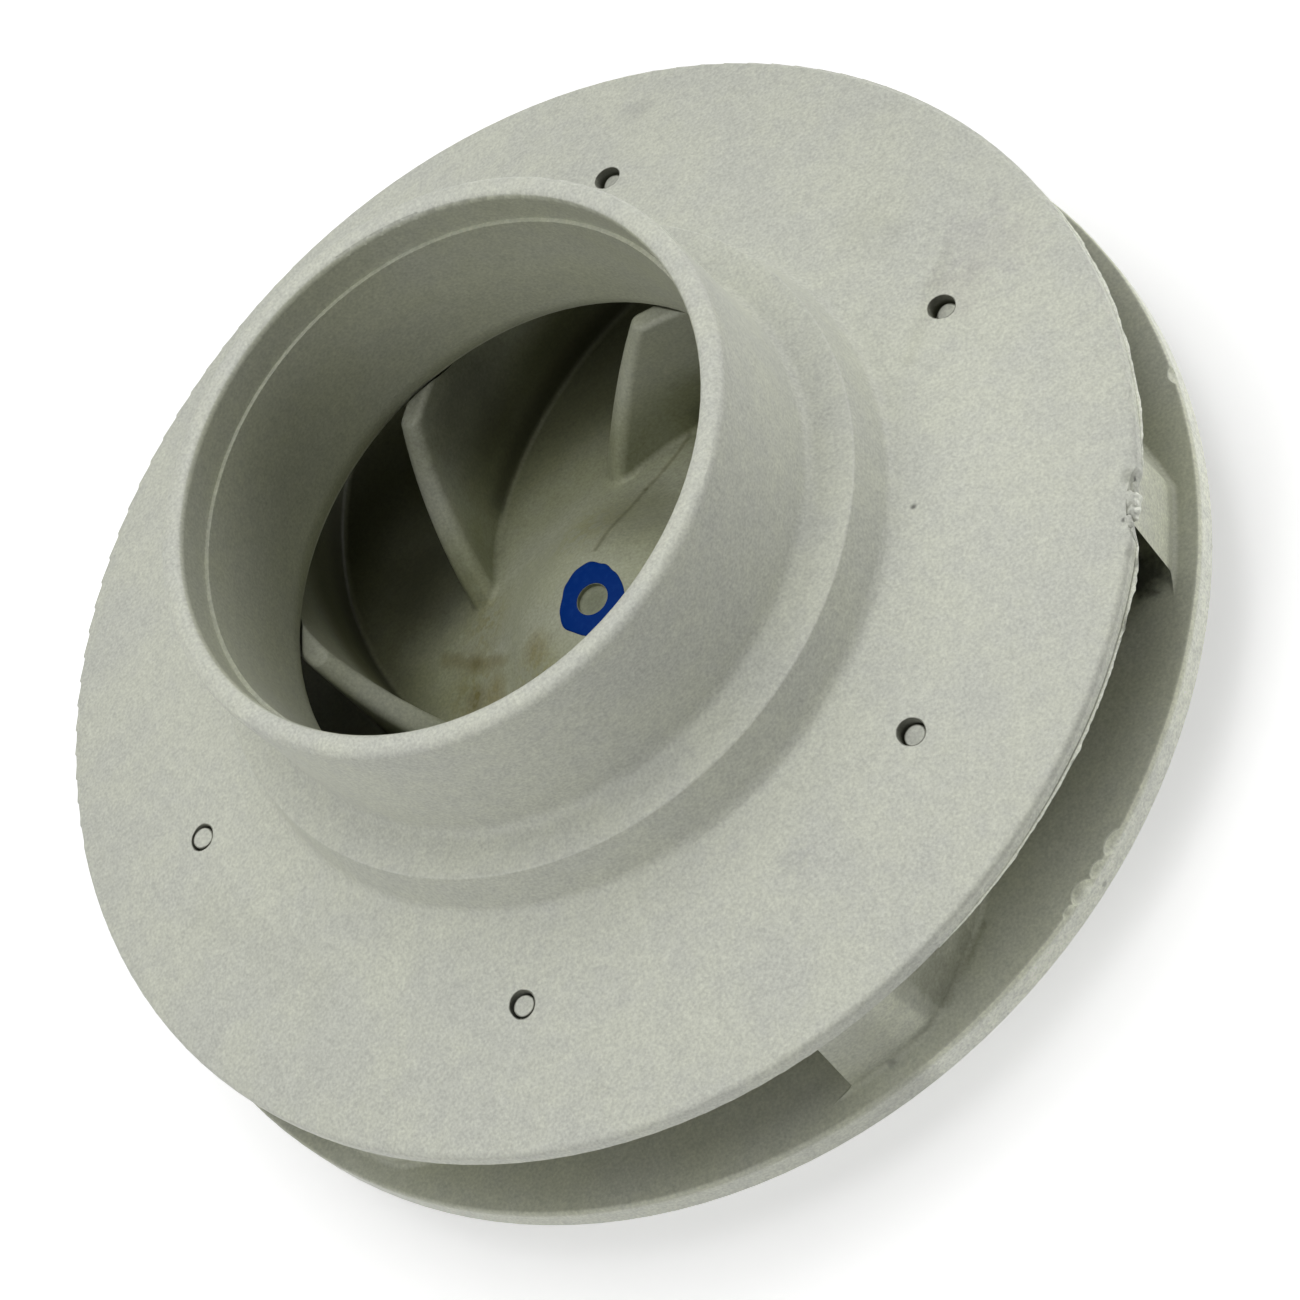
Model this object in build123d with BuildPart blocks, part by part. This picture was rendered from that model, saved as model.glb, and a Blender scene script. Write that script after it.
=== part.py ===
from build123d import *
import math
import os

os.makedirs("parts", exist_ok=True)

# Closed impeller of a water pump, standing eye up on the end face of its rear boss.
# The origin is on the shaft axis at that face, and +Z points out of the eye.
# It is three pieces: a front shroud with the eye neck, a back plate moulded in one
# with its vanes and boss, and a threaded brass insert moulded into the boss.

# Back plate
plate_radius = 65.8
plate_rim_thickness = 3.75
plate_flow_slope = 3.2
plate_edge_round = 0.4

# Nose of the flow face, which turns the water outwards
nose_height = 11.9
nose_sphere_radius = 20.0
nose_blend_radius = 29.0
gate_mark_radius = 1.85
gate_mark_depth = 0.6

# Rear boss with the seat of the shaft seal
boss_projection = 10.0
boss_wall = 3.5
boss_root_round = 2.0
boss_edge_chamfer = 0.6
seal_seat_radius = 16.0
seal_seat_depth = 9.0

# Threaded brass insert, made of hexagon bar with a turned groove that holds it
insert_across_flats = 17.5
insert_length = 11.0
insert_groove_width = 3.0
insert_groove_depth = 1.2
thread_wall_radius = 4.95
thread_mouth_chamfer = 0.8

# Exit between the two shrouds
exit_width = 12.4

# Front shroud, whose rim stands a little inside that of the back plate
cover_setback = 0.8
cover_thickness = 2.1
cover_slope = 11.2
cover_front_round = 0.8
cover_rear_round = 0.3
step_width = 5.0
step_draft = 1.2
step_height = 6.3
step_top_rise = 0.8
step_cove = 1.8
step_edge_round = 0.3

# Eye neck, with a shallow counterbore at its mouth
eye_radius = 30.4
eye_turn_radius = 5.8
neck_wall = 3.1
neck_height = 31.2
neck_cove = 1.6
neck_outer_round = 1.1
neck_inner_round = 0.9
mouth_ledge_width = 0.45
mouth_depth = 4.9

# Vanes: the mean line is an arc from the exit over the pin to the throat, and a
# second arc that is tangent to it and runs in to the hub. Angles count from the pin.
# The thickness is that of the top at the eye, and the draft widens it to the root.
vane_count = 6
vane_thickness = 2.5
vane_draft = 1.6
vane_tip_setback = 2.0
vane_tip_overrun = 2.5
vane_exit_angle = -33.0
throat_setback = 0.1
throat_angle = 40.3
hub_end_radius = 16.5
hub_end_angle = 82.7
vane_nose_round = 1.15
vane_root_depth = 1.0
vane_root_round = 0.7

# Leading edge: a straight line that leans from the hub out to the eye, where the
# vane's top is cut off level inside the turn of the front shroud
inlet_foot_radius = 20.3
inlet_foot_angle = 69.0
inlet_foot_rise = 3.6
inlet_top_rise = 22.95
inlet_lip_rise = 21.1
inlet_lip_round = 0.7

# Play between the vane tops and the front shroud, on its cone and round its turn
vane_top_clearance = 0.1
vane_turn_clearance = 0.5

# Locating pins on the vanes, in the holes of the front shroud: melted down by hand,
# they end at unequal depths below its face
pin_circle_radius = 49.5
pin_radius = 1.2
pin_root_depth = 1.0
pin_hole_clearance = 0.3
pin_recesses = (1.5, 1.5, 1.0, 0.15, 0.4, 0.9)

# Worn places: a shallow bite in the cover's rim beside a vane tip, and small chips
# on the back plate's flow edge, each with its angle from the first pin, depth and length
cover_bite_angle = -30.5
cover_bite_depth = 0.9
cover_bite_radius = 12.0
plate_chips = (
    (-58.6, 0.8, 3.6),
    (-61.4, 0.7, 2.6),
    (-63.9, 1.1, 3.4),
    (-66.0, 0.6, 2.0),
    (-10.2, 0.6, 2.8),
)

# Levels and radii that follow from the sizes above
plate_rear_z = boss_projection
flow_z = plate_rear_z + plate_rim_thickness
nose_top_z = flow_z + nose_height
cover_rear_z = flow_z + exit_width
cover_front_z = cover_rear_z + cover_thickness
boss_radius = seal_seat_radius + boss_wall
cover_radius = plate_radius - cover_setback
vane_trim_radius = cover_radius - vane_tip_setback
vane_exit_radius = vane_trim_radius + vane_tip_overrun
throat_radius = eye_radius - throat_setback
mouth_radius = eye_radius + mouth_ledge_width
neck_radius = eye_radius + neck_wall
step_top_radius = neck_radius + step_width
step_base_radius = step_top_radius + step_draft
pin_hole_radius = pin_radius + pin_hole_clearance
cover_tangent = math.tan(math.radians(cover_slope))
flow_tangent = math.tan(math.radians(plate_flow_slope))
vane_pitch = 360.0 / vane_count


def polar_point(radius, angle, height=0.0):
    """Point at a radius and an angle in degrees about the shaft axis."""
    turn = math.radians(angle)
    return Vector(radius * math.cos(turn), radius * math.sin(turn), height)


def cover_face_z(radius):
    """Height of the front shroud's outer cone at a radius."""
    return cover_front_z + (cover_radius - radius) * cover_tangent


def cover_under_z(radius):
    """Height of the front shroud's underside, parallel to the outer cone."""
    return cover_rear_z + (cover_radius - radius) * cover_tangent


def corner(sketch, radius, height):
    """Corner of a half section that lies nearest to a radius and a height."""
    return sketch.vertices().sort_by_distance((radius, height, 0))[0]


# Front shroud: one half section turned round the axis, then drilled for the pins
step_base_z = cover_face_z(step_base_radius)
step_top_z = step_base_z + step_height
neck_base_z = step_top_z + step_top_rise
neck_top_z = cover_front_z + neck_height
ledge_z = neck_top_z - mouth_depth

with BuildPart() as front_shroud:
    with BuildSketch(Plane.XZ) as shroud_section:
        with BuildLine():
            Polyline(
                (cover_radius, cover_rear_z),
                (cover_radius, cover_front_z),
                (step_base_radius, step_base_z),
                (step_top_radius, step_top_z),
                (neck_radius, neck_base_z),
                (neck_radius, neck_top_z),
                (mouth_radius, neck_top_z),
                (mouth_radius, ledge_z),
                (eye_radius, ledge_z),
                (eye_radius, cover_under_z(eye_radius)),
                close=True,
            )
        make_face()
        fillet(corner(shroud_section, eye_radius, cover_under_z(eye_radius)), eye_turn_radius)
        fillet(corner(shroud_section, cover_radius, cover_rear_z), cover_rear_round)
        fillet(corner(shroud_section, cover_radius, cover_front_z), cover_front_round)
        fillet(corner(shroud_section, step_base_radius, step_base_z), step_cove)
        fillet(corner(shroud_section, step_top_radius, step_top_z), step_edge_round)
        fillet(corner(shroud_section, neck_radius, neck_base_z), neck_cove)
        fillet(corner(shroud_section, neck_radius, neck_top_z), neck_outer_round)
        fillet(corner(shroud_section, mouth_radius, neck_top_z), neck_inner_round)
    revolve(axis=Axis.Z)
    with BuildSketch(Plane.XY.offset(cover_rear_z)):
        with PolarLocations(pin_circle_radius, vane_count):
            Circle(pin_hole_radius)
    extrude(amount=step_top_z - cover_rear_z, mode=Mode.SUBTRACT)
    bite_centre = polar_point(cover_radius + cover_bite_radius - cover_bite_depth, cover_bite_angle)
    with BuildSketch(Plane.XY.offset(cover_rear_z)):
        with Locations((bite_centre.X, bite_centre.Y)):
            Circle(cover_bite_radius)
    extrude(amount=step_base_z - cover_rear_z, mode=Mode.SUBTRACT)

# Brass insert: the blank is also the form of its seat in the boss
hexagon_sides = 6
insert_floor_z = seal_seat_depth
groove_z = insert_floor_z + (insert_length - insert_groove_width) / 2

with BuildPart() as insert_blank:
    with BuildSketch(Plane.XY.offset(insert_floor_z)):
        RegularPolygon(insert_across_flats / 2, hexagon_sides, major_radius=False)
    extrude(amount=insert_length)
    with BuildSketch(Plane.XY.offset(groove_z)):
        RegularPolygon(insert_across_flats, hexagon_sides)
        Circle(insert_across_flats / 2 - insert_groove_depth, mode=Mode.SUBTRACT)
    extrude(amount=insert_groove_width, mode=Mode.SUBTRACT)

with BuildPart() as threaded_insert:
    add(insert_blank.part)
    with Locations((0, 0, insert_floor_z + insert_length)):
        Hole(thread_wall_radius)
    chamfer(threaded_insert.edges(Select.LAST).filter_by(GeomType.CIRCLE), thread_mouth_chamfer)

# One vane, drafted so that it leaves the mould straight up
vane_root_z = flow_z - vane_root_depth
inlet_lip_z = flow_z + inlet_lip_rise
vane_reach_z = neck_base_z
throat_point = polar_point(throat_radius, throat_angle)
inlet_foot = polar_point(inlet_foot_radius, inlet_foot_angle, flow_z + inlet_foot_rise)
inlet_top = polar_point(throat_radius, throat_angle, flow_z + inlet_top_rise)
inlet_run = (inlet_top - inlet_foot).normalized()
inlet_across = Vector(0, 0, 1).cross(inlet_run).normalized()
inlet_normal = inlet_run.cross(inlet_across)
inlet_plane = Plane(
    origin=inlet_foot + inlet_normal * vane_nose_round,
    x_dir=inlet_across,
    z_dir=inlet_normal,
)
vane_eye_radius = eye_radius - vane_turn_clearance

with BuildPart() as vane:
    with BuildSketch(Plane.XY.offset(inlet_lip_z)):
        with BuildLine():
            main_arc = ThreePointArc(
                polar_point(vane_exit_radius, vane_exit_angle),
                polar_point(pin_circle_radius, 0),
                throat_point,
            )
            TangentArc(throat_point, polar_point(hub_end_radius, hub_end_angle), tangent=main_arc % 1)
        trace(line_width=vane_thickness)
    extrude(amount=vane_root_z - inlet_lip_z, taper=-vane_draft)
    split(bisect_by=inlet_plane, keep=Keep.BOTTOM)
    inlet_face = vane.faces().filter_by(GeomType.PLANE).sort_by_distance(inlet_plane.origin)[0]
    fillet(inlet_face.edges().sort_by(SortBy.LENGTH)[-2:], vane_nose_round)
    fillet(vane.faces().sort_by(Axis.Z)[-1].edges(), inlet_lip_round)
    with BuildSketch(Plane.XZ) as vane_zone:
        with BuildLine():
            Polyline(
                (0, vane_root_z),
                (vane_trim_radius, vane_root_z),
                (vane_trim_radius, cover_under_z(vane_trim_radius) - vane_top_clearance),
                (vane_eye_radius, cover_under_z(vane_eye_radius) - vane_top_clearance),
                (vane_eye_radius, vane_reach_z),
                (0, vane_reach_z),
                close=True,
            )
        make_face()
        turn_corner = corner(vane_zone, vane_eye_radius, cover_under_z(vane_eye_radius))
        fillet(turn_corner, eye_turn_radius + vane_turn_clearance)
    revolve(axis=Axis.Z, mode=Mode.INTERSECT)

# Back plate: nose and plate in one half section, then vanes, boss, seats and pins.
# The nose ends where its sphere meets the cone of the flow face.
nose_centre_z = nose_top_z - nose_sphere_radius
flow_apex_z = flow_z + plate_radius * flow_tangent
apex_rise = flow_apex_z - nose_centre_z
slope_square = 1 + flow_tangent ** 2
foot_square = (flow_tangent * apex_rise) ** 2 - slope_square * (apex_rise ** 2 - nose_sphere_radius ** 2)
nose_foot_radius = (flow_tangent * apex_rise + math.sqrt(foot_square)) / slope_square
nose_foot_z = flow_apex_z - nose_foot_radius * flow_tangent

with BuildPart() as vaned_backplate:
    with BuildSketch(Plane.XZ) as plate_section:
        with BuildLine():
            Polyline(
                (0, nose_top_z),
                (0, plate_rear_z),
                (plate_radius, plate_rear_z),
                (plate_radius, flow_z),
                (nose_foot_radius, nose_foot_z),
            )
            TangentArc((0, nose_top_z), (nose_foot_radius, nose_foot_z), tangent=(1, 0))
        make_face()
        fillet(corner(plate_section, nose_foot_radius, nose_foot_z), nose_blend_radius)
        fillet(corner(plate_section, plate_radius, flow_z), plate_edge_round)
        fillet(corner(plate_section, plate_radius, plate_rear_z), plate_edge_round)
    revolve(axis=Axis.Z)
    with PolarLocations(0, vane_count):
        add(vane.part)
    fillet(vaned_backplate.edges(Select.NEW), vane_root_round)
    with BuildSketch(Plane.XZ) as boss_section:
        with BuildLine():
            Polyline(
                (0, seal_seat_depth),
                (seal_seat_radius, seal_seat_depth),
                (seal_seat_radius, 0),
                (boss_radius, 0),
                (boss_radius, plate_rear_z),
                (boss_radius + 2 * boss_root_round, plate_rear_z),
                (boss_radius + 2 * boss_root_round, plate_rear_z + plate_rim_thickness / 2),
                (0, plate_rear_z + plate_rim_thickness / 2),
                close=True,
            )
        make_face()
        fillet(corner(boss_section, boss_radius, plate_rear_z), boss_root_round)
        chamfer(corner(boss_section, boss_radius, 0), boss_edge_chamfer)
        chamfer(corner(boss_section, seal_seat_radius, 0), boss_edge_chamfer)
    revolve(axis=Axis.Z)
    add(insert_blank.part, mode=Mode.SUBTRACT)
    with Locations((0, 0, nose_top_z)):
        Hole(gate_mark_radius, depth=gate_mark_depth)
    for chip_angle, chip_depth, chip_length in plate_chips:
        chip_radius = (chip_length ** 2 / 4 + chip_depth ** 2) / (2 * chip_depth)
        chip_offset = (chip_radius - chip_depth) / math.sqrt(2)
        chip_centre = polar_point(plate_radius + chip_offset, chip_angle, flow_z + chip_offset)
        with Locations(chip_centre):
            Sphere(chip_radius, mode=Mode.SUBTRACT)
    pin_base_z = cover_under_z(pin_circle_radius) - vane_top_clearance - pin_root_depth
    for index in range(vane_count):
        pin_top_z = cover_face_z(pin_circle_radius) - pin_recesses[index % len(pin_recesses)]
        pin_centre = polar_point(pin_circle_radius, index * vane_pitch)
        with BuildSketch(Plane.XY.offset(pin_base_z)):
            with Locations((pin_centre.X, pin_centre.Y)):
                Circle(pin_radius)
        extrude(amount=pin_top_z - pin_base_z)

front_shroud.part.label = "front_shroud"
vaned_backplate.part.label = "vaned_backplate"
threaded_insert.part.label = "threaded_insert"

export_step(front_shroud.part, "parts/front_shroud.step")
export_step(vaned_backplate.part, "parts/vaned_backplate.step")
export_step(threaded_insert.part, "parts/threaded_insert.step")
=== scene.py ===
"""Looks of a closed pump impeller: moulded plastic, paint mark, mould flash and studio."""

import logging
import math
from collections.abc import Mapping, Sequence
from dataclasses import dataclass
from enum import Enum

import bmesh
import bpy
from mathutils import Matrix, Vector, noise


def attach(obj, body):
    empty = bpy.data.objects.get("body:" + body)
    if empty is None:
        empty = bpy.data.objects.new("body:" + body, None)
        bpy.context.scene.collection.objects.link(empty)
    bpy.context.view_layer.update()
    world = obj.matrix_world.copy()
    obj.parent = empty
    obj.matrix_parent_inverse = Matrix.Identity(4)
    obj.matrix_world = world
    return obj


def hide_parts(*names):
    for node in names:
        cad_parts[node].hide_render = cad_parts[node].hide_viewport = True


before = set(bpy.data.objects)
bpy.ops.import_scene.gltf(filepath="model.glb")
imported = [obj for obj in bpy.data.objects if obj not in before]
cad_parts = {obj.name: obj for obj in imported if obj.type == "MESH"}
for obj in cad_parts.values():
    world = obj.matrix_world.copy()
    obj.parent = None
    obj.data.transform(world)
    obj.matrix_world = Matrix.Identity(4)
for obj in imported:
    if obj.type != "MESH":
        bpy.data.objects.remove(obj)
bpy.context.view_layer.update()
log = logging.getLogger("impeller")

MM = 0.001
NOISE_LINE_GAP = 7.3
NOISE_LEVEL = 0.5

Colour = tuple[float, float, float]
Place = tuple[float, float, float]
Span = tuple[float, float]


def polar(radius: float, angle: float, height: float) -> Vector:
    """Point about the shaft axis.

    Args:
        radius: Distance from the axis, in millimetres.
        angle: Angle from the first pin, in degrees.
        height: Height over the floor, in millimetres.

    Returns:
        The point, in metres.
    """
    turn = math.radians(angle)
    return Vector((radius * math.cos(turn), radius * math.sin(turn), height)) * MM


def wander(seed: float, distance: float) -> float:
    """Smooth noise between about -1 and 1 along a line.

    Args:
        seed: Picks one of many lines.
        distance: Way along the line, where 1 is one bump.

    Returns:
        The noise there.
    """
    return noise.noise(Vector((distance, NOISE_LINE_GAP * seed, NOISE_LEVEL)))


def follow(points: Sequence[Sequence[float]], place: float) -> list[float]:
    """Read a table of values between its rows.

    Args:
        points: Rows that each begin with their place, in rising order.
        place: Where to read, which may lie outside the rows.

    Returns:
        The values there, without the place.
    """
    place = min(max(place, points[0][0]), points[-1][0])
    for before, after in zip(points, points[1:]):
        if place <= after[0]:
            share = (place - before[0]) / (after[0] - before[0])
            share = 0.5 - 0.5 * math.cos(math.pi * share)
            return [a + (b - a) * share for a, b in zip(before[1:], after[1:])]
    return list(points[-1][1:])


class Axis(Enum):
    """Component of a position vector."""

    X = 0
    Y = 1
    Z = 2


class Blend(Enum):
    """How a second colour is laid over a first."""

    COVER = "MIX"
    TINT = "MULTIPLY"


class Signal:
    """A number on its way through a shader, which adds a Math node for each operator."""

    def __init__(self, sheet: "NodeSheet", socket: bpy.types.NodeSocket) -> None:
        """Keep the sheet that the socket belongs to."""
        self.sheet = sheet
        self.socket = socket

    def join(self, operation: str, *operands: "Signal | float") -> "Signal":
        """Put operands in one Math node.

        Args:
            operation: Name of the Math node's operation.
            operands: Signals or plain numbers, in the order of its sockets.

        Returns:
            The node's result.
        """
        inputs = dict(enumerate(operands))
        node = self.sheet.add("ShaderNodeMath", {"operation": operation}, inputs)
        return Signal(self.sheet, node.outputs[0])

    def __add__(self, other: "Signal | float") -> "Signal":
        """Sum."""
        return self.join("ADD", self, other)

    def __radd__(self, other: float) -> "Signal":
        """Sum with a plain number on the left."""
        return self.join("ADD", other, self)

    def __sub__(self, other: "Signal | float") -> "Signal":
        """Difference."""
        return self.join("SUBTRACT", self, other)

    def __rsub__(self, other: float) -> "Signal":
        """Difference from a plain number."""
        return self.join("SUBTRACT", other, self)

    def __mul__(self, other: "Signal | float") -> "Signal":
        """Product."""
        return self.join("MULTIPLY", self, other)

    def __rmul__(self, other: float) -> "Signal":
        """Product with a plain number on the left."""
        return self.join("MULTIPLY", other, self)

    def __truediv__(self, other: "Signal | float") -> "Signal":
        """Quotient."""
        return self.join("DIVIDE", self, other)

    def __pow__(self, exponent: float) -> "Signal":
        """This signal raised to a power."""
        return self.join("POWER", self, exponent)

    def __abs__(self) -> "Signal":
        """This signal without its sign."""
        return self.join("ABSOLUTE", self)

    def sine(self) -> "Signal":
        """Sine of this signal in radians."""
        return self.join("SINE", self)

    def at_least(self, other: "Signal | float") -> "Signal":
        """The larger of the two."""
        return self.join("MAXIMUM", self, other)

    def at_most(self, other: "Signal | float") -> "Signal":
        """The smaller of the two."""
        return self.join("MINIMUM", self, other)

    def ramp(self, start: float, end: float) -> "Signal":
        """Smooth step of this signal.

        Args:
            start: Value at which the result is 0.
            end: Value at which the result is 1, which may lie below start.

        Returns:
            A signal between 0 and 1.
        """
        node = self.sheet.add(
            "ShaderNodeMapRange",
            {"interpolation_type": "SMOOTHSTEP"},
            {"Value": self, "From Min": start, "From Max": end},
        )
        return Signal(self.sheet, node.outputs["Result"])

    def over(self, span: Span, about: float = 0.0) -> "Signal":
        """Smooth step of a length.

        Args:
            span: Lengths at which the result is 0 and 1, in millimetres.
            about: Length from which they are counted, in millimetres.

        Returns:
            A signal between 0 and 1.
        """
        return self.ramp((about + span[0]) * MM, (about + span[1]) * MM)


class NodeSheet:
    """A node tree of a material or the world, emptied and filled anew."""

    def __init__(self, tree: bpy.types.NodeTree) -> None:
        """Empty the tree."""
        self.tree = tree
        self.tree.nodes.clear()

    def add(
        self,
        kind: str,
        settings: Mapping[str, object] | None = None,
        inputs: Mapping[str | int, object] | None = None,
    ) -> bpy.types.Node:
        """Add one node.

        Args:
            kind: The node's type.
            settings: Its own properties, set before its sockets.
            inputs: Values, signals or sockets for its input sockets.

        Returns:
            The new node.
        """
        node = self.tree.nodes.new(kind)
        for name, value in (settings or {}).items():
            setattr(node, name, value)
        for key, value in (inputs or {}).items():
            source = value.socket if isinstance(value, Signal) else value
            if isinstance(source, bpy.types.NodeSocket):
                self.tree.links.new(source, node.inputs[key])
            else:
                node.inputs[key].default_value = source
        return node

    def seen(self) -> Signal:
        """Tell what is looked at from what is only lit.

        Returns:
            One where the camera, a gloss or a clear body looks, and zero for soft light.
        """
        rays = self.add("ShaderNodeLightPath")
        camera = Signal(self, rays.outputs["Is Camera Ray"])
        gloss = Signal(self, rays.outputs["Is Glossy Ray"])
        clear = Signal(self, rays.outputs["Is Transmission Ray"])
        return camera.at_least(gloss).at_least(clear)


class FinishSheet(NodeSheet):
    """The node tree of one material, which reads the place on the object."""

    def __init__(self, name: str) -> None:
        """Start an empty material.

        Args:
            name: The material's name.
        """
        self.material = bpy.data.materials.new(name)
        self.material.use_nodes = True
        super().__init__(self.material.node_tree)
        self.place = self.add("ShaderNodeTexCoord").outputs["Object"]

    def axis(self, axis: Axis) -> Signal:
        """One component of the place on the object, in metres."""
        node = self.add("ShaderNodeSeparateXYZ", inputs={0: self.place})
        return Signal(self, node.outputs[axis.value])

    def radius(self) -> Signal:
        """Distance from the shaft axis, in metres."""
        x, y = self.axis(Axis.X), self.axis(Axis.Y)
        return (x * x + y * y) ** 0.5

    def above(self, level: float, soft: float = 0.2) -> Signal:
        """Tell what lies above a height.

        Args:
            level: The height, in millimetres.
            soft: Half the height over which it starts, in millimetres.

        Returns:
            One above the height and zero below it.
        """
        return self.axis(Axis.Z).over((-soft, soft), level)

    def facing(self, middle: float, spread: float, fade: Span = (-0.04, 0.02)) -> Signal:
        """Share of a stretch round the shaft axis.

        Args:
            middle: Direction of the stretch's middle, in degrees.
            spread: Half the stretch, in degrees.
            fade: Cosines about its ends, from 0 to 1.

        Returns:
            A signal that is 1 inside the stretch and 0 away from it.
        """
        turn = math.radians(middle)
        toward = self.axis(Axis.X) * math.cos(turn) + self.axis(Axis.Y) * math.sin(turn)
        edge = math.cos(math.radians(spread))
        return (toward / self.radius()).ramp(edge + fade[0], edge + fade[1])

    def vector(self, operation: str, first: object, second: object) -> bpy.types.Node:
        """Add one Vector Math node over two vectors."""
        return self.add("ShaderNodeVectorMath", {"operation": operation}, {0: first, 1: second})

    def measure(self, operation: str, first: object, second: object) -> Signal:
        """The number that one Vector Math node finds from two vectors."""
        return Signal(self, self.vector(operation, first, second).outputs["Value"])

    def plan(self) -> bpy.types.NodeSocket:
        """The place on the object as seen from above, with no height."""
        return self.vector("MULTIPLY", self.place, (1.0, 1.0, 0.0)).outputs[0]

    def speckle(self, size: float, detail: float = 2.0, layering: float = 0.6) -> Signal:
        """Smooth noise over the object.

        Args:
            size: Rough width of one patch, in millimetres.
            detail: Number of finer layers.
            layering: Strength of each layer, as a share of the one before.

        Returns:
            A signal about 0.5.
        """
        inputs = {"Scale": 1 / (size * MM), "Detail": detail, "Roughness": layering}
        node = self.add("ShaderNodeTexNoise", inputs={"Vector": self.place, **inputs})
        return Signal(self, node.outputs["Fac"])

    def blend(
        self, share: "Signal | float", first: object, second: object, how: Blend = Blend.COVER
    ) -> bpy.types.NodeSocket:
        """Lay one colour over another.

        Args:
            share: Share of the second colour.
            first: Colour or colour socket.
            second: Colour or colour socket.
            how: Whether the second colour covers or tints.

        Returns:
            The mixed colour.
        """
        colours = [(*c, 1.0) if isinstance(c, tuple) else c for c in (first, second)]
        settings = {"data_type": "RGBA", "blend_type": how.value}
        node = self.add("ShaderNodeMix", settings, {0: share, 6: colours[0], 7: colours[1]})
        return node.outputs[2]

    def grey(self, level: Signal) -> bpy.types.NodeSocket:
        """Grey colour of a signal's level."""
        return self.add("ShaderNodeCombineXYZ", inputs={0: level, 1: level, 2: level}).outputs[0]

    def relief(self, height: Signal, strength: float, depth: float) -> bpy.types.NodeSocket:
        """Fine unevenness of the skin.

        Args:
            height: Its height.
            strength: Its share.
            depth: Its depth, in millimetres.

        Returns:
            The bent normal.
        """
        inputs = {"Strength": strength, "Distance": depth * MM, "Height": height}
        return self.add("ShaderNodeBump", inputs=inputs).outputs[0]

    def finish(self, surface: bpy.types.Node) -> bpy.types.Material:
        """Lead a shader to the output and give back the material."""
        self.add("ShaderNodeOutputMaterial", inputs={"Surface": surface.outputs[0]})
        return self.material


@dataclass(frozen=True)
class Spot:
    """A soft round mark on the plastic.

    Attributes:
        centre: Its place, in millimetres.
        reach: Its radius, in millimetres.
        tone: Colour by which it tints the plastic, where 1 changes nothing.
        patchy: Share of it that breaks up into patches.
        fray: How far its edge wanders, as a share of its radius.
        lowest: Height below which it doesn't show, in millimetres.
        core: Radius within which it is full, as a share of its own.
        patch_levels: Levels of the noise over which a patch starts.
    """

    centre: Place
    reach: float
    tone: Colour
    patchy: float = 0.0
    fray: float = 1.4
    lowest: float = 0.0
    core: float = 0.2
    patch_levels: Span = (0.44, 0.6)

    def share(self, sheet: FinishSheet, uneven: Signal) -> Signal:
        """Share of the mark over the plastic.

        Args:
            sheet: The material's sheet.
            uneven: Noise about 0.5 that frays its edge.

        Returns:
            A signal between 0 and 1.
        """
        centre = tuple(c * MM for c in self.centre)
        gap = sheet.measure("DISTANCE", sheet.place, centre)
        frayed = gap + (uneven - 0.5) * (self.reach * MM * self.fray)
        share = frayed.over((self.reach, self.core * self.reach))
        if self.patchy:
            patches = uneven.ramp(*self.patch_levels)
            share = share * (patches * self.patchy + (1.0 - self.patchy))
        if self.lowest:
            share = share * sheet.above(self.lowest)
        return share


@dataclass(frozen=True)
class Streak:
    """A straight mark as seen from above, which follows the surface under it.

    Attributes:
        start: One end across the plate, in millimetres.
        end: The other end.
        width: Its half width, in millimetres.
        tone: Colour by which it tints the plastic.
        fray: How far its edge wanders, as a share of its half width.
        lowest: Height below which it doesn't show, in millimetres.
    """

    start: tuple[float, float]
    end: tuple[float, float]
    width: float
    tone: Colour
    fray: float = 0.8
    lowest: float = 12.0

    def share(self, sheet: FinishSheet, uneven: Signal) -> Signal:
        """Share of the mark over the plastic.

        Args:
            sheet: The material's sheet.
            uneven: Noise about 0.5 that frays its edge.

        Returns:
            A signal between 0 and 1.
        """
        start, end = (Vector((*point, 0.0)) * MM for point in (self.start, self.end))
        run = (end - start).normalized()
        offset = sheet.vector("SUBTRACT", sheet.plan(), start).outputs[0]
        along = sheet.measure("DOT_PRODUCT", offset, run)
        along = along.at_least(0.0).at_most((end - start).length)
        nearest = sheet.add(
            "ShaderNodeVectorMath", {"operation": "SCALE"}, {0: run, "Scale": along}
        ).outputs[0]
        gap = sheet.measure("DISTANCE", offset, nearest)
        frayed = gap + (uneven - 0.5) * (self.width * MM * 2 * self.fray)
        return frayed.over((self.width, 0.0)) * sheet.above(self.lowest)


@dataclass(frozen=True)
class RimLine:
    """A thin dark line along the shroud's rim, over its flash.

    Attributes:
        middle: Direction of its middle, in degrees.
        spread: Half its length, in degrees.
        level: Its height, in millimetres.
        width: Its half width, in millimetres.
        tone: Colour by which it tints the plastic.
        waver: How far it wanders up and down, as a share of its half width.
        core: Half width within which it is full, as a share of its own.
        outer: Radii over which it starts, in millimetres.
    """

    middle: float
    spread: float
    level: float
    width: float
    tone: Colour
    waver: float = 2.0
    core: float = 0.3
    outer: Span = (64.4, 64.8)

    def share(self, sheet: FinishSheet, uneven: Signal) -> Signal:
        """Share of the line over the plastic.

        Args:
            sheet: The material's sheet.
            uneven: Noise about 0.5 that makes it waver.

        Returns:
            A signal between 0 and 1.
        """
        waves = (uneven - 0.5) * (self.waver * self.width * MM)
        offset = sheet.axis(Axis.Z) - self.level * MM + waves
        line = abs(offset).over((self.width, self.core * self.width))
        return line * sheet.radius().over(self.outer) * sheet.facing(self.middle, self.spread)


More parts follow.
